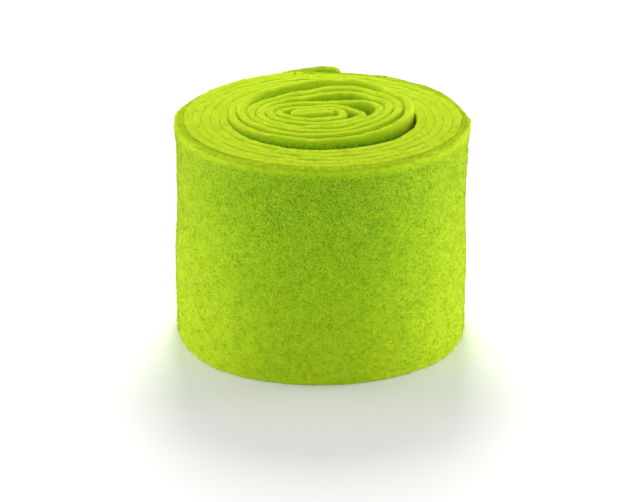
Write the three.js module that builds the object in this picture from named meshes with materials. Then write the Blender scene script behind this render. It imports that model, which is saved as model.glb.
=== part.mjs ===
// A roll of thick wool felt ribbon, standing on its long edge.
//
// The roll is one strip of felt and nothing else. It starts at its outer end, at the back, and
// winds inwards: counter-clockwise from above, over the left, the front and the right. The first
// turns lie round and level. The turns inside them are flattened, tilted and pushed up a little,
// which leaves a crescent gap at the front. The innermost stretch, the core, is three layers of the
// strip that lie flat against each other, joined by two bends.
//
// Lengths are in millimetres, with +Z up and +Y to the back. The origin is on the floor, at the
// middle of the footprint. A place along the strip is counted in turns inwards, and at each
// whole number the strip is straight behind the winding's axis.

import * as THREE from 'three';

// The strip: cloth on edge, so its width is the height of the roll
const STRIP_WIDTH = 150;
const STRIP_THICKNESS = 5.6;
const STATIONS_PER_TURN = 36;

// Where the strip's outer end lies, and where the winding stops and the core starts
const OUTER_END = -0.022;
const WINDING_END = 11.535;

// The round turns: how far the first one's middle lies from the axis in each direction, and how
// much less that is on each turn after it
const ROUND_TURNS = 6;
const FIRST_REACH = { back: 96.0, left: 95.6, front: 95.4, right: 98.0 };
const PITCH = { back: 6.06, left: 6.05, front: 6.2, right: 6.07 };

// The right side of each turn's back is a little slacker than the left, and gets more so inwards
const ROUND_SLACK = { left: 0.005, right: 0.008 };
const SLACK_GROWTH = { left: 0.001, right: 0.003 };

// The flattened turns, one to a row: the reach of the middle of the strip in each direction, how
// far it is lifted there, how far to the right its back comes to a blunt point, how much its back
// is drawn in on either side of that point, and how far it leans (y for each x)
const FLATTENED_COLUMNS = [
  'back', 'left', 'front', 'right',
  'liftBack', 'liftLeft', 'liftFront', 'liftRight',
  'point', 'slackLeft', 'slackRight', 'lean',
];
const FLATTENED_TURNS = [
  [59.6, 59.2, 52.2, 59.5, 3.0, 3.5, 3.7, 7.0, 1.0, 0.01, 0.04, 0.01],
  [49.7, 52.83, 43.26, 51.77, 8.9, 6.0, 3.9, 7.0, 10.0, -0.018, 0.086, 0.06],
  [42.7, 46.92, 37.33, 45.58, 5.4, 5.5, 4.4, 6.5, 12.0, 0.071, 0.1, 0.072],
  [35.7, 40.29, 29.0, 39.17, 4.1, 5.0, 4.2, 6.0, 12.0, 0.085, 0.137, 0.076],
  [14.3, 32.83, 20.36, 27.49, 5.8, 5.0, 3.5, 5.0, 11.0, -0.277, 0.03, 0.147],
  [7.28, 27.6, 14.31, 12.02, 5.0, 5.0, 4.0, 5.0, 7.0, -0.04, 0.126, -0.051],
  [-4.13, 23.51, 9.7, 9.0, 6.2, 5.0, 5.0, 5.0, 5.0, 0.0, 0.0, 0.123],
];

// The core, part by part: how long the strip's middle is and how far it turns to the left
const CORE = [
  { length: 10.76, turnDegrees: 0 },
  { length: 21.5, turnDegrees: 179.2 },
  { length: 22.07, turnDegrees: 0 },
  { length: 9.75, turnDegrees: 180 },
  { length: 22.43, turnDegrees: 0 },
];
const CORE_LIFT = 6.2;
const MOST_TURN_PER_STEP = 15;

// The outermost turn's top edge: how far it sags over each of these stretches (or stands up, where
// the depth is negative)
const SAGS = [
  { starts: -0.1, isFull: -0.05, startsToRise: -0.005, ends: 0.03, depth: -1.2 },
  { starts: 0.02, isFull: 0.06, startsToRise: 0.19, ends: 0.25, depth: 3 },
  { starts: 0.735, isFull: 0.77, startsToRise: 0.79, ends: 0.85, depth: 3 },
  { starts: 0.93, isFull: 0.955, startsToRise: 0.985, ends: 1.02, depth: 1.4 },
];

const UP = new THREE.Vector3(0, 0, 1);

function roundTurn(index) {
  const turn = { liftBack: 0, liftLeft: 0, liftFront: 0, liftRight: 0, point: 0, lean: 0 };
  for (const side of ['back', 'left', 'front', 'right']) {
    turn[side] = FIRST_REACH[side] - index * PITCH[side];
  }
  turn.slackLeft = ROUND_SLACK.left + index * SLACK_GROWTH.left;
  turn.slackRight = ROUND_SLACK.right + index * SLACK_GROWTH.right;
  return turn;
}

function flattenedTurn(row) {
  return Object.fromEntries(FLATTENED_COLUMNS.map((column, index) => [column, row[index]]));
}

const TURNS = [
  ...Array.from({ length: ROUND_TURNS }, (_, index) => roundTurn(index)),
  ...FLATTENED_TURNS.map(flattenedTurn),
];

// A column's value at any place along the strip, on a smooth curve through the turns' values. Each
// turn has its value where it passes the column's side: 0 is the back, 0.25 the left, and so on.
function columnAt(column, place, side = 0) {
  const last = TURNS.length - 1;
  const index = THREE.MathUtils.clamp(Math.floor(place - side), 0, last - 1);
  const t = place - side - index;
  const from = TURNS[index][column];
  const to = TURNS[index + 1][column];
  const before = index > 0 ? TURNS[index - 1][column] : 2 * from - to;
  const after = index + 2 <= last ? TURNS[index + 2][column] : 2 * to - from;
  const startSlope = (to - before) / 2;
  const endSlope = (after - from) / 2;
  return (2 * t ** 3 - 3 * t ** 2 + 1) * from + (t ** 3 - 2 * t ** 2 + t) * startSlope
    + (3 * t ** 2 - 2 * t ** 3) * to + (t ** 3 - t ** 2) * endSlope;
}

// The middle of the strip: half an ellipse to the front, and a drawn-in, blunt one to the back
function windingPoint(place) {
  const bearing = Math.PI / 2 + 2 * Math.PI * place;
  const across = Math.cos(bearing);
  const along = Math.sin(bearing);
  const back = columnAt('back', place, 0);
  const left = columnAt('left', place, 0.25);
  const front = columnAt('front', place, 0.5);
  const right = columnAt('right', place, 0.75);
  const slack = along > 0 ? columnAt(across < 0 ? 'slackLeft' : 'slackRight', place) : 0;
  const drawnIn = 1 - slack * (2 * across * along) ** 2;
  const middle = (right - left) / 2;
  const x = (right + left) / 2 * across * drawnIn;
  const y = (back - front) / 2 + (back + front) / 2 * along * drawnIn + columnAt('lean', place) * x;
  const towardsPoint = (columnAt('point', place) - middle) * Math.max(along, 0) ** 3;
  return new THREE.Vector3(middle + x + towardsPoint, y, 0);
}

function windingLift(place) {
  const bearing = Math.PI / 2 + 2 * Math.PI * place;
  const across = Math.cos(bearing);
  const along = Math.sin(bearing);
  const lift = Math.max(along, 0) ** 2 * columnAt('liftBack', place, 0)
    + Math.max(-across, 0) ** 2 * columnAt('liftLeft', place, 0.25)
    + Math.max(-along, 0) ** 2 * columnAt('liftFront', place, 0.5)
    + Math.max(across, 0) ** 2 * columnAt('liftRight', place, 0.75);
  return Math.max(lift, 0);
}

function sagAt(place) {
  const { smoothstep } = THREE.MathUtils;
  return SAGS.reduce((sag, { starts, isFull, startsToRise, ends, depth }) => (
    sag + depth * (smoothstep(place, starts, isFull) - smoothstep(place, startsToRise, ends))
  ), 0);
}

// A station is a cross-section of the strip: the middle of its bottom edge, the way the strip runs
// there, and the height of the top edge above the bottom one
function windingStation(place) {
  const step = 0.001;
  const middle = windingPoint(place);
  const direction = windingPoint(place + step).sub(windingPoint(place - step)).normalize();
  middle.z = windingLift(place);
  return { middle, direction, height: STRIP_WIDTH - sagAt(place) };
}

function windingStations() {
  const first = Math.ceil(OUTER_END * STATIONS_PER_TURN);
  const last = Math.floor(WINDING_END * STATIONS_PER_TURN);
  const places = [OUTER_END];
  for (let index = first; index <= last; index += 1) places.push(index / STATIONS_PER_TURN);
  places.push(WINDING_END);
  return places.map(windingStation);
}

function coreStations(start) {
  const wholeLength = CORE.reduce((sum, { length }) => sum + length, 0);
  const rise = CORE_LIFT - start.middle.z;
  const stations = [];
  const middle = start.middle.clone();
  const direction = start.direction.clone();
  for (const { length, turnDegrees } of CORE) {
    const steps = Math.max(1, Math.ceil(turnDegrees / MOST_TURN_PER_STEP));
    const halfTurn = THREE.MathUtils.degToRad(turnDegrees) / steps / 2;
    for (let step = 0; step < steps; step += 1) {
      direction.applyAxisAngle(UP, halfTurn);
      middle.addScaledVector(direction, length / steps);
      middle.z += rise * length / steps / wholeLength;
      direction.applyAxisAngle(UP, halfTurn);
      stations.push({ middle: middle.clone(), direction: direction.clone(), height: STRIP_WIDTH });
    }
  }
  return stations;
}

// The solid: four corners at each station, joined to the next station's, with a cap at each end
function stripGeometry(stations) {
  const corners = [];
  for (const { middle, direction, height } of stations) {
    const outward = new THREE.Vector3().crossVectors(direction, UP);
    const outer = middle.clone().addScaledVector(outward, STRIP_THICKNESS / 2);
    const inner = middle.clone().addScaledVector(outward, -STRIP_THICKNESS / 2);
    const top = middle.z + height;
    corners.push(outer.x, outer.y, outer.z, outer.x, outer.y, top);
    corners.push(inner.x, inner.y, top, inner.x, inner.y, inner.z);
  }
  const faces = [0, 1, 2, 0, 2, 3];
  for (let station = 0; station < stations.length - 1; station += 1) {
    const here = 4 * station;
    const next = here + 4;
    for (let side = 0; side < 4; side += 1) {
      const other = (side + 1) % 4;
      faces.push(here + side, next + side, next + other);
      faces.push(here + side, next + other, here + other);
    }
  }
  const end = 4 * (stations.length - 1);
  faces.push(end, end + 3, end + 2, end, end + 2, end + 1);
  const geometry = new THREE.BufferGeometry();
  geometry.setAttribute('position', new THREE.Float32BufferAttribute(corners, 3));
  geometry.setIndex(faces);
  return geometry;
}

function centreOnFootprint(geometry) {
  geometry.computeBoundingBox();
  const { min, max } = geometry.boundingBox;
  geometry.translate(-(min.x + max.x) / 2, -(min.y + max.y) / 2, -min.z);
}

function feltStrip() {
  const winding = windingStations();
  const stations = [...winding, ...coreStations(winding[winding.length - 1])];
  const geometry = stripGeometry(stations);
  centreOnFootprint(geometry);
  geometry.computeVertexNormals();
  const limeFelt = new THREE.MeshStandardMaterial({
    color: 0x9ccb26,
    roughness: 0.95,
    metalness: 0,
    flatShading: true,
  });
  const mesh = new THREE.Mesh(geometry, limeFelt);
  mesh.name = 'felt_strip';
  return mesh;
}

const feltRoll = new THREE.Group();
feltRoll.add(feltStrip());

export default feltRoll;
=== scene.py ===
"""A roll of thick lime-green wool felt, standing on edge on a plain white floor.

The felt is one strip, wound inwards as the CAD node felt_strip is: the turns' places are the same
dimensions, in millimetres, and everything made from them here is in metres. The strip's cut edges
are rounded and its faces uneven. Loose wool fibres stand on what shows of it.
"""
import math

import bpy
import numpy as np
from mathutils import Matrix, Vector


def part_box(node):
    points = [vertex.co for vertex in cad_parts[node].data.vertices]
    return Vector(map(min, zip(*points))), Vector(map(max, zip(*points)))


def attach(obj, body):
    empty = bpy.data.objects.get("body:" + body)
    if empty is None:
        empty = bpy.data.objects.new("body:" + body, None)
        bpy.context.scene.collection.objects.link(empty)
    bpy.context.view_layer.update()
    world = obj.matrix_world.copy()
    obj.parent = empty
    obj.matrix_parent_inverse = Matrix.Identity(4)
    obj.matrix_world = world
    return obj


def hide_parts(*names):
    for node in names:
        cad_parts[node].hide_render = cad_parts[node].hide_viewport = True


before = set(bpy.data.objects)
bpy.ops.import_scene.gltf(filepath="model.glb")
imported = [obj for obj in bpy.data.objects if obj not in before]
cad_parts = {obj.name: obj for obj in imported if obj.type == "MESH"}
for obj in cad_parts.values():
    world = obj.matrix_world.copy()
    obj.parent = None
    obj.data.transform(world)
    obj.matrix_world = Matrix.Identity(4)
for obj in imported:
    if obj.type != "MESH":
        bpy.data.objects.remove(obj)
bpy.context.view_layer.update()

BODY = "root"
NODE = "felt_strip"
MM = 0.001

# ---- The strip and its winding, as in the CAD model (millimetres) ----

# A place along the strip is counted in turns inwards: 0 is at the back, 0.25 at the left, and so on
STRIP_WIDTH = 150.0
STRIP_THICKNESS = 5.6
OUTER_END = -0.022
WINDING_END = 11.535

# The round turns: how far the first one's middle lies from the axis, how much less that is on each
# turn after it, and how much the turns' backs are drawn in on either side
ROUND_TURNS = 6
FIRST_REACH = {"back": 96.0, "left": 95.6, "front": 95.4, "right": 98.0}
PITCH = {"back": 6.06, "left": 6.05, "front": 6.2, "right": 6.07}
ROUND_SLACK = {"left": 0.005, "right": 0.008}
SLACK_GROWTH = {"left": 0.001, "right": 0.003}

# The flattened turns: reach and lift to each side, how far to the right the back comes to a blunt
# point, how much it is drawn in on either side of that point, and the lean (y for each x)
FLATTENED_COLUMNS = (
    "back", "left", "front", "right",
    "lift_back", "lift_left", "lift_front", "lift_right",
    "point", "slack_left", "slack_right", "lean",
)
FLATTENED_TURNS = (
    (59.6, 59.2, 52.2, 59.5, 3.0, 3.5, 3.7, 7.0, 1.0, 0.01, 0.04, 0.01),
    (49.7, 52.83, 43.26, 51.77, 8.9, 6.0, 3.9, 7.0, 10.0, -0.018, 0.086, 0.06),
    (42.7, 46.92, 37.33, 45.58, 5.4, 5.5, 4.4, 6.5, 12.0, 0.071, 0.1, 0.072),
    (35.7, 40.29, 29.0, 39.17, 4.1, 5.0, 4.2, 6.0, 12.0, 0.085, 0.137, 0.076),
    (14.3, 32.83, 20.36, 27.49, 5.8, 5.0, 3.5, 5.0, 11.0, -0.277, 0.03, 0.147),
    (7.28, 27.6, 14.31, 12.02, 5.0, 5.0, 4.0, 5.0, 7.0, -0.04, 0.126, -0.051),
    (-4.13, 23.51, 9.7, 9.0, 6.2, 5.0, 5.0, 5.0, 5.0, 0.0, 0.0, 0.123),
)

# The innermost stretch: each part's length, and how far it turns to the left (degrees)
CORE = ((10.76, 0.0), (21.5, 179.2), (22.07, 0.0), (9.75, 180.0), (22.43, 0.0))
CORE_LIFT = 6.2
CORE_STEP = 0.5                       # millimetres between points of its middle line

# The outermost turn's top edge sags (or stands up, where the depth is negative): the places where a
# sag starts, is full, starts to rise and ends, and its depth
SAGS = (
    (-0.1, -0.05, -0.005, 0.03, -1.2),
    (0.02, 0.06, 0.19, 0.25, 3.0),
    (0.735, 0.77, 0.79, 0.85, 3.0),
    (0.93, 0.955, 0.985, 1.02, 1.4),
)


def round_turn(index):
    turn = dict.fromkeys(FLATTENED_COLUMNS, 0.0)
    for side in FIRST_REACH:
        turn[side] = FIRST_REACH[side] - index * PITCH[side]
    for side in ROUND_SLACK:
        turn["slack_" + side] = ROUND_SLACK[side] + index * SLACK_GROWTH[side]
    return turn


TURNS = [round_turn(index) for index in range(ROUND_TURNS)]
TURNS += [dict(zip(FLATTENED_COLUMNS, row)) for row in FLATTENED_TURNS]


def column_at(column, place, side=0.0):
    """A column's value along the strip, on a smooth curve through the turns' values."""
    values = np.array([turn[column] for turn in TURNS], float)
    values = np.concatenate([[2 * values[0] - values[1]], values, [2 * values[-1] - values[-2]]])
    index = np.clip(np.floor(place - side).astype(int), 0, len(TURNS) - 2)
    t = place - side - index
    before, start, end, after = (values[index + step] for step in range(4))
    start_slope = (end - before) / 2
    end_slope = (after - start) / 2
    return ((2 * t**3 - 3 * t**2 + 1) * start + (t**3 - 2 * t**2 + t) * start_slope
            + (3 * t**2 - 2 * t**3) * end + (t**3 - t**2) * end_slope)


def winding_middle(place):
    """The middle of the strip seen from above: x and y at places along the winding."""
    bearing = math.pi / 2 + 2 * math.pi * place
    across, along = np.cos(bearing), np.sin(bearing)
    back = column_at("back", place, 0.0)
    left = column_at("left", place, 0.25)
    front = column_at("front", place, 0.5)
    right = column_at("right", place, 0.75)
    slack = np.where(across < 0, column_at("slack_left", place), column_at("slack_right", place))
    drawn_in = 1 - np.where(along > 0, slack, 0.0) * (2 * across * along) ** 2
    middle = (right - left) / 2
    x = (right + left) / 2 * across * drawn_in
    y = (back - front) / 2 + (back + front) / 2 * along * drawn_in + column_at("lean", place) * x
    towards_point = (column_at("point", place) - middle) * np.maximum(along, 0) ** 3
    return middle + x + towards_point, y


def winding_lift(place):
    bearing = math.pi / 2 + 2 * math.pi * place
    across, along = np.cos(bearing), np.sin(bearing)
    lift = (np.maximum(along, 0) ** 2 * column_at("lift_back", place, 0.0)
            + np.maximum(-across, 0) ** 2 * column_at("lift_left", place, 0.25)
            + np.maximum(-along, 0) ** 2 * column_at("lift_front", place, 0.5)
            + np.maximum(across, 0) ** 2 * column_at("lift_right", place, 0.75))
    return np.maximum(lift, 0)


def smooth_step(low, high, value):
    t = np.clip((value - low) / (high - low), 0, 1)
    return t * t * (3 - 2 * t)


def sag_at(place):
    return sum(depth * (smooth_step(starts, full, place) - smooth_step(rises, ends, place))
               for starts, full, rises, ends, depth in SAGS)


# ---- The strip's course, resampled at even steps ----

WINDING_SAMPLES = 12000
SWELL_UP_TO = 2.0                     # the widest gap beside a turn that its felt swells to fill
MOST_SWELL = 0.8
TOUCH_CLEARANCE = 0.04
SWELL_BLUR = 9                        # stations
NEIGHBOUR_SKIP = 2                    # stations, when looking for the turn beside
NEIGHBOUR_FACING = 0.9                # how squarely that turn must lie beside (a cosine)
NEIGHBOUR_NEAREST = STRIP_THICKNESS - 1   # nearer than this is the same turn


def core_middle(x, y):
    """The middle of the innermost stretch, on from the end of the winding."""
    heading = math.atan2(y[-1] - y[-2], x[-1] - x[-2])
    point = np.array([x[-1], y[-1]])
    points = []
    for length, turn in CORE:
        steps = int(math.ceil(length / CORE_STEP))
        half_turn = math.radians(turn) / steps / 2
        for _ in range(steps):
            heading += half_turn
            point = point + length / steps * np.array([math.cos(heading), math.sin(heading)])
            heading += half_turn
            points.append(point)
    return np.array(points)


class Course:
    """The strip's middle line: place along it, x, y, lift, height and outward direction."""

    def __init__(self, step):
        place = np.linspace(OUTER_END, WINDING_END, WINDING_SAMPLES)
        x, y = winding_middle(place)
        lift, height = winding_lift(place), STRIP_WIDTH - sag_at(place)
        core = core_middle(x, y)
        x, y = np.append(x, core[:, 0]), np.append(y, core[:, 1])
        travelled = np.concatenate([[0], np.cumsum(np.hypot(np.diff(x), np.diff(y)))])
        inside = travelled[len(lift):] - travelled[len(lift) - 1]
        inside /= inside[-1]
        lift = np.append(lift, lift[-1] + (CORE_LIFT - lift[-1]) * inside)
        height = np.append(height, np.full(len(core), STRIP_WIDTH))
        place = np.append(place, WINDING_END + inside)
        self.length = travelled[-1]
        self.along = np.linspace(0, self.length, int(round(self.length / step)) + 1)
        self.place, self.x, self.y, self.lift, self.height = (
            np.interp(self.along, travelled, values) for values in (place, x, y, lift, height))
        run_x, run_y = np.gradient(self.x), np.gradient(self.y)
        size = np.hypot(run_x, run_y)
        self.out_x, self.out_y = run_y / size, -run_x / size
        self.outer_swell, self.inner_swell = self.swell(1), self.swell(-1)

    def swell(self, side):
        """How much the lofty felt swells on that side, to meet the turn that lies beside it."""
        middle = np.stack([self.x, self.y], 1)
        towards = side * np.stack([self.out_x, self.out_y], 1)
        away = middle[None, ::NEIGHBOUR_SKIP] - middle[:, None]
        facing = (away * towards[:, None]).sum(2)
        distance = np.hypot(away[..., 0], away[..., 1])
        beside = (facing > NEIGHBOUR_FACING * distance) & (distance > NEIGHBOUR_NEAREST)
        gap = np.where(beside, distance, np.inf).min(1) - STRIP_THICKNESS
        gap = np.minimum(gap, 2 * SWELL_UP_TO)
        swell = np.clip(gap / 2 - TOUCH_CLEARANCE, 0, MOST_SWELL)
        swell *= 1 - smooth_step(SWELL_UP_TO, 2 * SWELL_UP_TO, gap)
        window = np.hanning(SWELL_BLUR + 2)[1:-1]
        padded = np.pad(swell, SWELL_BLUR // 2, "edge")
        return np.convolve(padded, window / window.sum(), "valid")


# ---- Noise for lumps, the same on every run ----

def hash_grid(cells, seed):
    """Random numbers from 0 to 1 for whole-number cells."""
    mixed = (cells[..., 0] * 374761393 + cells[..., 1] * 668265263 + seed * 974634777) & 0xFFFFFFFF
    mixed = ((mixed ^ (mixed >> 13)) * 1274126177) & 0xFFFFFFFF
    return ((mixed ^ (mixed >> 16)) & 0xFFFF) / 0xFFFF


def noise(u, v, size, seed):
    """Smooth noise from -1 to 1 over a surface, with lumps about size across."""
    u, v = np.broadcast_arrays(np.asarray(u, float), np.asarray(v, float))
    cell_u, cell_v = np.floor(u / size).astype(np.int64), np.floor(v / size).astype(np.int64)
    part_u, part_v = u / size - cell_u, v / size - cell_v
    part_u, part_v = part_u**2 * (3 - 2 * part_u), part_v**2 * (3 - 2 * part_v)

    def corner(step_u, step_v):
        return hash_grid(np.stack([cell_u + step_u, cell_v + step_v], -1), seed)

    low = corner(0, 0) * (1 - part_u) + corner(1, 0) * part_u
    high = corner(0, 1) * (1 - part_u) + corner(1, 1) * part_u
    return 2 * (low * (1 - part_v) + high * part_v) - 1


# ---- The roll's side, which isn't quite upright ----

# How far the side stands out (or in) from the upright, in millimetres, by height and by bearing
STANCE_HEIGHTS = (0, 25, 55, 90, 125, 142, 160)
STANCE_BLUR = 19                      # millimetres that the profile is smoothed over
STANCES = {
    0: (-2.6, -2.6, -2.2, -3.8, -2.8, -1.8, 0.0),
    90: (0.0, 0.0, 0.0, 0.0, 0.0, 0.0, 0.0),
    180: (-0.2, 0.2, 0.2, -1.8, -2.0, -1.2, 0.0),
    235: (5.0, 3.4, 1.6, 0.2, -0.4, -0.2, 0.0),
    270: (2.4, 1.6, 0.8, -0.2, -0.4, -0.2, 0.0),
    310: (1.6, 1.0, 0.2, -1.0, -1.0, -0.6, 0.0),
}


def stance_profile(heights):
    grid = np.arange(-STANCE_BLUR, STANCE_HEIGHTS[-1] + STANCE_BLUR)
    window = np.hanning(STANCE_BLUR)
    smooth = np.convolve(np.interp(grid, STANCE_HEIGHTS, heights), window / window.sum(), "same")
    return grid, smooth


STANCE_PROFILES = {bearing: stance_profile(heights) for bearing, heights in STANCES.items()}
OUTER_REACH = 97.0                    # where the stances are measured; the turns inside move less


def stand_out(x, y, up):
    """Points of the upright roll, in millimetres, moved to the side's real stance."""
    bearing = np.degrees(np.arctan2(y, x)) % 360
    bearings = sorted(STANCES)
    moved = np.zeros(len(x))
    for here, after in zip(bearings, bearings[1:] + [bearings[0] + 360]):
        share = smooth_step(0, 1, np.clip((bearing - here) / (after - here), 0, 1))
        between = (bearing >= here) & (bearing < after)
        low = np.interp(up, *STANCE_PROFILES[here])
        high = np.interp(up, *STANCE_PROFILES[after % 360])
        moved = np.where(between, low * (1 - share) + high * share, moved)
    scale = 1 + moved / OUTER_REACH
    return x * scale, y * scale


# ---- The felt strip's mesh ----

CORNER_STEPS = 4                      # facets round each corner of the cut edges
FLAT_STEPS = 3                        # facets across the flat of a cut edge
BOTTOM_RADIUS = 1.1
# The cut edge's rounding by place: the outer corner's across and down, then the inner corner's
ROUNDINGS = (
    (0.93, (1.7, 2.2, 1.4, 1.5)),
    (1.03, (1.3, 1.3, 1.3, 1.3)),
    (6.05, (1.3, 1.3, 1.3, 1.3)),
    (6.25, (2.4, 4.4, 1.6, 1.8)),
    (6.70, (2.4, 4.4, 2.4, 4.2)),
    (6.90, (1.8, 2.0, 2.4, 4.2)),
    (10.2, (1.8, 2.0, 2.2, 3.6)),
)
END_ROUNDING = (5.0, 3.0)             # the outer end's top corner: along the strip and down
SHOWN_ROWS = 84                       # rows up the outer face of the outermost turn
HIDDEN_ROWS = 4                       # rows up every other face
SHOWN_TURNS = 1.03                    # how many turns have the shown rows
SHOWN_STEP = 1.4                      # millimetres between stations there
HIDDEN_STEP = 2.6                     # and on the rest of the strip

# The unevenness of the shown face and of the cut edges: each size of lump, and how high it stands
FACE_LUMPS = ((11.0, 0.30), (4.5, 0.16), (2.8, 0.10))
FACE_SEED = 1
FACE_BAND = (1.2, 0.2)                # how deep in the face its lumps start, and are full
FACE_FADE = (1.0, 1.03)               # the places where they fade out: further in, it is covered
EDGE_LUMPS = ((14.0, 0.45), (5.0, 0.30), (2.8, 0.15))
EDGE_SEED = 11
EDGE_BAND = (2.5, 0.3)                # how far below the cut edge its lumps start, and are full
EDGE_SHIFT = 40                       # where the edges' lumps lie in their noise


def rounding_at(place):
    places = [row[0] for row in ROUNDINGS]
    return [np.interp(place, places, [row[1][part] for row in ROUNDINGS]) for part in range(4)]


def outline(rows, place, height):
    """A cross-section's outline: out and up, from the bottom of the outer face, over the top."""
    half = STRIP_THICKNESS / 2
    across, down, inner_across, inner_down = (float(size) for size in rounding_at(place))
    low = BOTTOM_RADIUS
    turn = np.linspace(0, math.pi / 2, CORNER_STEPS + 1)
    flat = np.linspace(half - across, inner_across - half, FLAT_STEPS + 1)[1:-1]
    bottom = np.linspace(low - half, half - low, FLAT_STEPS + 1)[1:-1]
    outer_face = np.linspace(low, height - down, rows + 1)[1:-1]
    inner_face = np.linspace(height - inner_down, low, HIDDEN_ROWS + 1)[1:-1]

    def corner(side, wide, tall, level, upward):
        return np.stack([side * (half - wide + wide * np.cos(turn)),
                         level + upward * tall * np.sin(turn)], 1)

    return np.concatenate([
        np.stack([np.full(len(outer_face), half), outer_face], 1),
        corner(1, across, down, height - down, 1),
        np.stack([flat, np.full(len(flat), height)], 1),
        corner(-1, inner_across, inner_down, height - inner_down, 1)[::-1],
        np.stack([np.full(len(inner_face), -half), inner_face], 1),
        corner(-1, low, low, low, -1),
        np.stack([bottom, np.zeros(len(bottom))], 1),
        corner(1, low, low, low, -1)[::-1],
    ])


def edge_fall(place, out):
    """How far the rounded cut edge lies below its highest, this far out from its middle."""
    across, down, inner_across, inner_down = rounding_at(place)
    half = STRIP_THICKNESS / 2
    outer = np.clip((out - half + across) / across, 0, 1)
    inner = np.clip((-out - half + inner_across) / inner_across, 0, 1)
    return down * (1 - np.sqrt(1 - outer**2)) + inner_down * (1 - np.sqrt(1 - inner**2))


def uneven(along, out, up, height, place):
    """The section moved by the felt's lumps: how far out and up each point goes."""
    half = STRIP_THICKNESS / 2
    on_face = smooth_step(half - FACE_BAND[0], half - FACE_BAND[1], out)
    on_face = on_face * (1 - smooth_step(*FACE_FADE, place))
    on_edge = smooth_step(height - EDGE_BAND[0], height - EDGE_BAND[1], up)
    face_lumps = sum(size * noise(along, up, width, seed)
                     for seed, (width, size) in enumerate(FACE_LUMPS, FACE_SEED))
    edge_lumps = sum(size * noise(along, out + EDGE_SHIFT, width, seed)
                     for seed, (width, size) in enumerate(EDGE_LUMPS, EDGE_SEED))
    return out + on_face * face_lumps, up + on_edge * edge_lumps


def on_strip(course, along, out, up):
    """Points of the strip (how far along, out and up, in millimetres) as x, y, z in metres."""
    place, x, y, lift, height, out_x, out_y, outer_swell, inner_swell = (
        np.interp(along, course.along, values) for values in
        (course.place, course.x, course.y, course.lift, course.height, course.out_x, course.out_y,
         course.outer_swell, course.inner_swell))
    out, up = uneven(along, out, up, height, place)
    out = out * (1 + np.where(out > 0, outer_swell, inner_swell) / (STRIP_THICKNESS / 2))
    end = np.clip(1 - along / END_ROUNDING[0], 0, 1)
    up = up - END_ROUNDING[1] * (1 - np.sqrt(1 - end**2)) * smooth_step(height / 2, height, up)
    z = np.maximum(up + lift, 0)
    x, y = stand_out(x + out * out_x, y + out * out_y, z)
    return np.stack([x, y, z], 1) * MM


def strip_rings(course, first, last, rows):
    rings = []
    for index in range(first, last):
        points = outline(rows, course.place[index], course.height[index])
        along = np.full(len(points), course.along[index])
        rings.append(on_strip(course, along, points[:, 0], points[:, 1]))
    return rings


def zip_rings(near, far, near_start, far_start):
    """Triangles between two rings of different counts, matched by how far round they are."""
    def fractions(ring):
        edges = np.linalg.norm(np.roll(ring, -1, 0) - ring, axis=1)
        return np.concatenate([[0], np.cumsum(edges)]) / edges.sum()

    here, there = fractions(near), fractions(far)
    i = j = 0
    faces = []
    while i < len(near) or j < len(far):
        a, b = near_start + i % len(near), far_start + j % len(far)
        if j == len(far) or (i < len(near) and here[i + 1] <= there[j + 1]):
            faces.append((a, b, near_start + (i + 1) % len(near)))
            i += 1
        else:
            faces.append((a, b, far_start + (j + 1) % len(far)))
            j += 1
    return faces


def cap(ring_start, count, facing_back):
    """A cut end of the strip: one flat face over its ring."""
    corners = list(range(ring_start, ring_start + count))
    return corners if facing_back else corners[::-1]


def felt_strip_mesh(axis):
    """The whole strip as one closed mesh; axis is where the winding's axis stands."""
    fine, coarse = Course(SHOWN_STEP), Course(HIDDEN_STEP)
    fine_count = int(np.searchsorted(fine.place, SHOWN_TURNS))
    coarse_first = int(np.searchsorted(coarse.along, fine.along[fine_count - 1] + SHOWN_STEP))
    shown = strip_rings(fine, 0, fine_count, SHOWN_ROWS)
    hidden = strip_rings(coarse, coarse_first, len(coarse.along), HIDDEN_ROWS)
    faces = []
    starts = []
    count = 0
    for ring in shown + hidden:
        starts.append(count)
        count += len(ring)
    for rings, offset in ((shown, 0), (hidden, len(shown))):
        size = len(rings[0])
        for station in range(len(rings) - 1):
            here, there = starts[offset + station], starts[offset + station + 1]
            for point in range(size):
                after = (point + 1) % size
                faces.append((here + point, there + point, there + after, here + after))
    faces += zip_rings(shown[-1], hidden[0], starts[len(shown) - 1], starts[len(shown)])
    faces.append(cap(starts[0], len(shown[0]), True))
    faces.append(cap(starts[-1], len(hidden[-1]), False))
    points = np.concatenate(shown + hidden)
    points[:, :2] += axis
    mesh = bpy.data.meshes.new("felt_roll")
    mesh.from_pydata(points.tolist(), [], faces)
    mesh.validate()
    mesh.polygons.foreach_set("use_smooth", [True] * len(mesh.polygons))
    mesh.update()
    return mesh, fine.length


# ---- Loose fibres (millimetres) ----

FIBRE_SIDES = 3
ROOT_DEPTH = 0.3                      # millimetres that a fibre starts inside the felt
EDGE_REACH = 2.7                      # how far out the cut edge is followed
LENGTH_SPREAD = 0.4
STEEPEST = 0.8                        # the most that a fibre stands off, as a share of its length
BOW_SPREAD = 0.22
MIDDLE_RISE = (0.45, 0.95)            # how high a fibre's middle and tip are, as shares of how far
TIP_RISE = (0.5, 1.1)                 # it stands off
MIDDLE_THICKNESS = 0.85
SIDEWAYS = (0.31, 0.17, 0.94)         # a direction that no fibre follows
SIDE_FIBRE_HEIGHTS = (0.6, STRIP_WIDTH - 3)
RIM_FIBRE_PLACES = (OUTER_END, 1.02)
EDGE_FIBRE_PLACES = (1.0, WINDING_END + 1)


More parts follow.
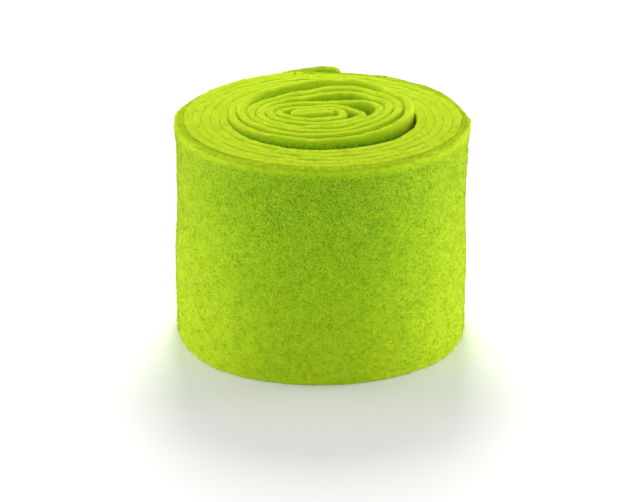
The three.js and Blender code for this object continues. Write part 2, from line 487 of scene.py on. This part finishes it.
class Fibres:
    """One mesh of loose fibres: their count, usual length, how far they stand off, and radius."""

    def __init__(self, name, seed, count, length, stands, radius):
        self.name = name
        self.random = np.random.default_rng(seed)
        self.count = count
        self.length = length
        self.stands = stands
        self.radius = radius

    def between(self, low, high):
        return self.random.uniform(low, high, self.count)

    def face(self, course, places, heights, side):
        """Fibres on a face of the strip, outer (side 1) or inner (-1)."""
        first, last = np.interp(places, course.place, course.along)
        along, up = self.between(first, last), self.between(*heights)
        run, rise, stand = self.lie()
        within = np.full(self.count, side * (STRIP_THICKNESS / 2 - ROOT_DEPTH))
        root = on_strip(course, along, within, up)
        bent = [on_strip(course, along + share * run + bow * rise,
                         side * (STRIP_THICKNESS / 2 + height * stand),
                         np.maximum(up + share * rise - bow * run, 0))
                for share, height, bow in self.shape()]
        return self.needles(root, *bent)

    def edge(self, course, places, outs):
        """Fibres on the top cut edge."""
        first, last = np.interp(places, course.place, course.along)
        along, out = self.between(first, last), self.between(*outs)
        height = np.interp(along, course.along, course.height)
        place = np.interp(along, course.along, course.place)
        run, aside, stand = self.lie()
        root = on_strip(course, along, out, height - ROOT_DEPTH - edge_fall(place, out))
        bent = []
        for share, lift, bow in self.shape():
            there = out + share * aside - bow * run
            fall = edge_fall(place, np.clip(there, -EDGE_REACH, EDGE_REACH))
            bent.append(on_strip(course, along + share * run + bow * aside, there,
                                 height + lift * stand - fall))
        return self.needles(root, *bent)

    def lie(self):
        """How far each fibre reaches along, across and away from the felt."""
        heading = self.between(0, 2 * math.pi)
        length = self.length * self.random.lognormal(0, LENGTH_SPREAD, self.count)
        stand = np.minimum(self.random.exponential(self.stands, self.count), STEEPEST * length)
        flat = np.sqrt(length**2 - stand**2)
        return flat * np.cos(heading), flat * np.sin(heading), stand

    def shape(self):
        """The middle and the tip: share of the run, share of the height, and bow to one side."""
        bow = self.random.normal(0, BOW_SPREAD, self.count)
        return (0.5, self.between(*MIDDLE_RISE), bow), (1.0, self.between(*TIP_RISE), 0.0)

    def needles(self, root, middle, tip):
        """A mesh of closed needles: a triangle at the root, one at the bend, and a point."""
        run = tip - root
        run /= np.linalg.norm(run, axis=1)[:, None]
        side = np.cross(run, SIDEWAYS)
        side /= np.linalg.norm(side, axis=1)[:, None]
        other = np.cross(run, side)
        rings = []
        for centre, share in ((root, 1.0), (middle, MIDDLE_THICKNESS)):
            for corner in range(FIBRE_SIDES):
                turn = 2 * math.pi * corner / FIBRE_SIDES
                rings.append(centre + share * self.radius * MM
                             * (math.cos(turn) * side + math.sin(turn) * other))
        points = np.stack(rings + [tip], 1)
        points[..., 2] = np.maximum(points[..., 2], 0)
        needle = [(0, 2, 1)]
        for here in range(FIBRE_SIDES):
            after = (here + 1) % FIBRE_SIDES
            needle += [(here, after, after + 3), (here, after + 3, here + 3), (here + 3, after + 3, 6)]
        size = points.shape[1]
        faces = (np.arange(self.count)[:, None, None] * size + np.array(needle)).reshape(-1, 3)
        mesh = bpy.data.meshes.new(self.name)
        mesh.vertices.add(self.count * size)
        mesh.vertices.foreach_set("co", points.reshape(-1))
        mesh.loops.add(faces.size)
        mesh.loops.foreach_set("vertex_index", faces.reshape(-1))
        mesh.polygons.add(len(faces))
        mesh.polygons.foreach_set("loop_start", np.arange(0, faces.size, 3))
        mesh.update(calc_edges=True)
        mesh.validate()
        return mesh


def fibre_meshes(axis):
    course = Course(HIDDEN_STEP / 2)
    side_places = (OUTER_END, 1.0)
    outs = (-STRIP_THICKNESS / 2, STRIP_THICKNESS / 2)
    sides = [Fibres(name, seed, count=19500, length=3.4, stands=0.6, radius=0.08)
             for seed, name in enumerate(("side_fibres_a", "side_fibres_b"), 1)]
    rim = Fibres("rim_fibres", 3, count=9000, length=2.6, stands=0.7, radius=0.07)
    edges = Fibres("edge_fibres", 4, count=17000, length=2.4, stands=0.4, radius=0.07)
    meshes = [fibres.face(course, side_places, SIDE_FIBRE_HEIGHTS, 1) for fibres in sides]
    meshes.append(rim.edge(course, RIM_FIBRE_PLACES, outs))
    meshes.append(edges.edge(course, EDGE_FIBRE_PLACES, outs))
    for mesh in meshes:
        mesh.transform(Matrix.Translation((axis[0], axis[1], 0)))
    return meshes


def winding_axis():
    """Where the winding's axis stands, from the CAD node's box."""
    course = Course(HIDDEN_STEP / 4)
    half = STRIP_THICKNESS / 2
    edges_x = np.concatenate([course.x + half * course.out_x, course.x - half * course.out_x])
    edges_y = np.concatenate([course.y + half * course.out_y, course.y - half * course.out_y])
    low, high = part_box(NODE)
    centre = (np.array(low) + np.array(high))[:2] / 2
    drawn = np.array([edges_x.min() + edges_x.max(), edges_y.min() + edges_y.max()]) / 2 * MM
    return centre - drawn


# ---- Materials ----

def new_material(name):
    """A node material: itself, its nodes and links, and its main shader."""
    material = bpy.data.materials.new(name)
    material.use_nodes = True
    nodes = material.node_tree.nodes
    shader = nodes["Principled BSDF"]
    return material, nodes, material.node_tree.links, shader


GAP_FELT = (0.02, 0.12, 0.008, 1)
DARK_FELT = (0.13, 0.34, 0.012, 1)
MIDDLE_FELT = (0.38, 0.71, 0.012, 1)
LIGHT_FELT = (0.56, 0.79, 0.016, 1)
FIBRE_COLOUR = (0.58, 0.76, 0.020, 1)
SHEEN = (1.0, 0.72, 0.06, 1)
FLOOR_COLOUR = (0.95, 0.95, 0.95, 1)

# The tone, from dark to light, adds up curly gaps between fibres, tufts and broad patches. Scales
# are waves to a metre.
GAP_SCALES = (500, 900)
GAP_DETAIL = 1.5
GAP_DISTORTION = 1.2
GAP_SHARPNESS = 9.0
GAP_WEIGHT = 0.26
TUFT_SCALE = 1100
TUFT_DETAIL = 3.0
TUFT_WEIGHT = 1.45
PATCH_SCALE = 60
PATCH_DETAIL = 4.0
PATCH_WEIGHT = 0.15
# Painted light, added to the tone by height: from and to, in metres, and how much is added at each.
# The first is painted bounce light from the floor, lighter towards the bottom; the second is painted
# light on the top cut edge and its rounding.
PAINTED_LIGHT_SPANS = ((0.0, 0.13, 0.24, 0.0), (0.143, 0.1485, 0.0, 0.32))
# Painted shade in the gaps between the inner turns: tone added from and to these heights, in metres
PAINTED_GAP_SHADE_DEPTH = (0.1455, 0.1525, -0.55, 0.0)
PAINTED_GAP_SHADE_REACH = (0.0620, 0.0635)      # from the axis: painted shade only on the inner coil's faces, low down in the gaps between turns
TONE_STOPS = ((0.05, GAP_FELT), (0.44, DARK_FELT), (0.69, MIDDLE_FELT), (1.0, LIGHT_FELT))
BUMP_STRENGTH = 0.5
BUMP_HEIGHT = 0.0006
TRANSLUCENCY = 0.45                   # the share of a fibre's light that shines through


def add_noise(nodes, links, place, scale, detail, distortion=0.0):
    node = nodes.new("ShaderNodeTexNoise")
    node.inputs["Scale"].default_value = scale
    node.inputs["Detail"].default_value = detail
    node.inputs["Distortion"].default_value = distortion
    links.new(place, node.inputs["Vector"])
    return node.outputs["Fac"]


def add_math(nodes, links, operation, first, second):
    node = nodes.new("ShaderNodeMath")
    node.operation = operation
    for socket, value in zip(node.inputs, (first, second)):
        if isinstance(value, (int, float)):
            socket.default_value = value
        else:
            links.new(value, socket)
    return node.outputs["Value"]


def add_range(nodes, links, value, low, high, at_low, at_high):
    """A value mapped from low to high, to at_low to at_high, and held at the ends."""
    node = nodes.new("ShaderNodeMapRange")
    node.inputs["From Min"].default_value = low
    node.inputs["From Max"].default_value = high
    node.inputs["To Min"].default_value = at_low
    node.inputs["To Max"].default_value = at_high
    links.new(value, node.inputs["Value"])
    return node.outputs["Result"]


def add_curls(nodes, links, place, scale):
    """Thin curly lines, 1 along each line and 0 between: where a warped noise crosses its middle."""
    wave = add_noise(nodes, links, place, scale, GAP_DETAIL, GAP_DISTORTION)
    away = add_math(nodes, links, "ABSOLUTE", add_math(nodes, links, "SUBTRACT", wave, 0.5), 0.0)
    fall = add_math(nodes, links, "MULTIPLY", away, GAP_SHARPNESS)
    line = add_math(nodes, links, "SUBTRACT", 1.0, fall)
    return add_math(nodes, links, "MAXIMUM", line, 0.0)


def felt_material():
    material, nodes, links, shader = new_material("felt")
    place = nodes.new("ShaderNodeTexCoord").outputs["Object"]
    curls = [add_curls(nodes, links, place, scale) for scale in GAP_SCALES]
    gaps = add_math(nodes, links, "MAXIMUM", *curls)
    tufts = add_noise(nodes, links, place, TUFT_SCALE, TUFT_DETAIL)
    patches = add_noise(nodes, links, place, PATCH_SCALE, PATCH_DETAIL)
    tone = add_math(nodes, links, "SUBTRACT",
                    add_math(nodes, links, "MULTIPLY", tufts, TUFT_WEIGHT),
                    add_math(nodes, links, "MULTIPLY", gaps, GAP_WEIGHT))
    tone = add_math(nodes, links, "ADD", tone,
                    add_math(nodes, links, "MULTIPLY", patches, PATCH_WEIGHT))
    height = nodes.new("ShaderNodeSeparateXYZ")
    links.new(place, height.inputs["Vector"])
    # Painted light: lighter towards the floor for its bounce, and on the top cut edge and its rounding
    for painted_light in PAINTED_LIGHT_SPANS:
        tone = add_math(nodes, links, "ADD", tone, add_range(nodes, links, height.outputs["Z"], *painted_light))
    flat = nodes.new("ShaderNodeCombineXYZ")
    for side in "XY":
        links.new(height.outputs[side], flat.inputs[side])
    reach = nodes.new("ShaderNodeVectorMath")
    reach.operation = "LENGTH"
    links.new(flat.outputs["Vector"], reach.inputs[0])
    # Painted shade: the inner coil's faces darker low down in the gaps between turns, where shade
    # falls
    within = add_range(nodes, links, reach.outputs["Value"], *PAINTED_GAP_SHADE_REACH, 1.0, 0.0)
    painted_gap_shade = add_range(nodes, links, height.outputs["Z"], *PAINTED_GAP_SHADE_DEPTH)
    tone = add_math(nodes, links, "ADD", tone, add_math(nodes, links, "MULTIPLY", within, painted_gap_shade))
    ramp = nodes.new("ShaderNodeValToRGB")
    elements = ramp.color_ramp.elements
    elements[0].position, elements[0].color = TONE_STOPS[0]
    elements[1].position, elements[1].color = TONE_STOPS[-1]
    for position, colour in TONE_STOPS[1:-1]:
        elements.new(position).color = colour
    links.new(tone, ramp.inputs["Fac"])
    links.new(ramp.outputs["Color"], shader.inputs["Base Color"])
    bump = nodes.new("ShaderNodeBump")
    bump.inputs["Strength"].default_value = BUMP_STRENGTH
    bump.inputs["Distance"].default_value = BUMP_HEIGHT
    links.new(add_math(nodes, links, "SUBTRACT", tufts, gaps), bump.inputs["Height"])
    links.new(bump.outputs["Normal"], shader.inputs["Normal"])
    shader.inputs["Roughness"].default_value = 0.95
    shader.inputs["Specular IOR Level"].default_value = 0.1
    shader.inputs["Sheen Weight"].default_value = 0.75
    shader.inputs["Sheen Roughness"].default_value = 0.45
    shader.inputs["Sheen Tint"].default_value = SHEEN
    return material


def fibre_material():
    """Loose wool: light shines through it."""
    material, nodes, links, shader = new_material("wool_fibre")
    shader.inputs["Base Color"].default_value = FIBRE_COLOUR
    shader.inputs["Roughness"].default_value = 0.8
    shader.inputs["Specular IOR Level"].default_value = 0.2
    through = nodes.new("ShaderNodeBsdfTranslucent")
    through.inputs["Color"].default_value = FIBRE_COLOUR
    mix = nodes.new("ShaderNodeMixShader")
    mix.inputs["Fac"].default_value = TRANSLUCENCY
    links.new(shader.outputs["BSDF"], mix.inputs[1])
    links.new(through.outputs["BSDF"], mix.inputs[2])
    links.new(mix.outputs["Shader"], nodes["Material Output"].inputs["Surface"])
    return material


def floor_material():
    material, _, _, shader = new_material("white_floor")
    shader.inputs["Base Color"].default_value = FLOOR_COLOUR
    shader.inputs["Roughness"].default_value = 0.9
    shader.inputs["Specular IOR Level"].default_value = 0.1
    return material


# ---- The studio: camera, floor and light ----

# The picture's frame and the camera's focal length are in the photo's pixels
PHOTO_WIDTH = 640
FRAME_CENTRE = (320, 251)
TARGET_PIXEL = (320.93, 220.2)        # where the roll's centre is seen
FOCAL_PIXELS = 2500
SENSOR_WIDTH = 36.0
CAMERA_DISTANCE = 1.695
CAMERA_ELEVATION = math.radians(22.66)
MIDDLE_HEIGHT = STRIP_WIDTH / 2 * MM

FLOOR_REACH = 6.0
WORLD_STRENGTH = 0.71
# Each light's place, what it is aimed at, its width and height, and its power in watts
LIGHTS = {
    "back": ((0, 0.52, 0.72), (0, 0, 0.1), (0.30, 0.40), 6.6),
    "left": ((-1.0, 0.22, 0.075), (0, 0, 0.075), (0.4, 0.14), 7),
    "right": ((1.0, 0.22, 0.075), (0, 0, 0.075), (0.4, 0.14), 8.8),
}


def make_camera(axis):
    camera = bpy.data.cameras.new("camera")
    camera.sensor_width = SENSOR_WIDTH
    camera.lens = FOCAL_PIXELS / PHOTO_WIDTH * SENSOR_WIDTH
    holder = bpy.data.objects.new("camera", camera)
    bpy.context.scene.collection.objects.link(holder)
    holder.location = (axis[0], axis[1] - CAMERA_DISTANCE * math.cos(CAMERA_ELEVATION),
                       MIDDLE_HEIGHT + CAMERA_DISTANCE * math.sin(CAMERA_ELEVATION))
    across = math.atan((TARGET_PIXEL[0] - FRAME_CENTRE[0]) / FOCAL_PIXELS)
    below = math.atan((FRAME_CENTRE[1] - TARGET_PIXEL[1]) / FOCAL_PIXELS)
    holder.rotation_euler = (math.pi / 2 - CAMERA_ELEVATION - below, 0, across)
    bpy.context.scene.camera = holder


def add_area_light(name, location, aim, size, power):
    lamp = bpy.data.lights.new(name, "AREA")
    lamp.shape = "RECTANGLE"
    lamp.size, lamp.size_y = size
    lamp.energy = power
    holder = bpy.data.objects.new(name, lamp)
    holder.location = location
    holder.rotation_euler = (Vector(aim) - Vector(location)).to_track_quat("-Z", "Y").to_euler()
    bpy.context.scene.collection.objects.link(holder)


def make_studio():
    floor_mesh = bpy.data.meshes.new("floor")
    reach = FLOOR_REACH
    corners = [(-reach, -reach, 0), (reach, -reach, 0), (reach, reach, 0), (-reach, reach, 0)]
    floor_mesh.from_pydata(corners, [], [(0, 1, 2, 3)])
    floor = bpy.data.objects.new("floor", floor_mesh)
    floor.data.materials.append(floor_material())
    bpy.context.scene.collection.objects.link(floor)

    world = bpy.data.worlds.new("studio")
    world.use_nodes = True
    world.node_tree.nodes["Background"].inputs["Color"].default_value = (1, 1, 1, 1)
    world.node_tree.nodes["Background"].inputs["Strength"].default_value = WORLD_STRENGTH
    bpy.context.scene.world = world

    for name, light in LIGHTS.items():
        add_area_light(name, *light)


# ---- Put together ----

def add_piece(name, mesh, material):
    piece = bpy.data.objects.new(name, mesh)
    mesh.materials.append(material)
    bpy.context.scene.collection.objects.link(piece)
    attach(piece, BODY)
    return piece


AXIS = winding_axis()
make_camera(AXIS)
felt = felt_material()
strip_mesh, strip_length = felt_strip_mesh(AXIS)
roll = add_piece("felt_roll", strip_mesh, felt)
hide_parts(NODE)
wool = fibre_material()
fuzz = [add_piece(mesh.name, mesh, wool) for mesh in fibre_meshes(AXIS)]
make_studio()

bpy.context.scene.view_settings.view_transform = "Standard"
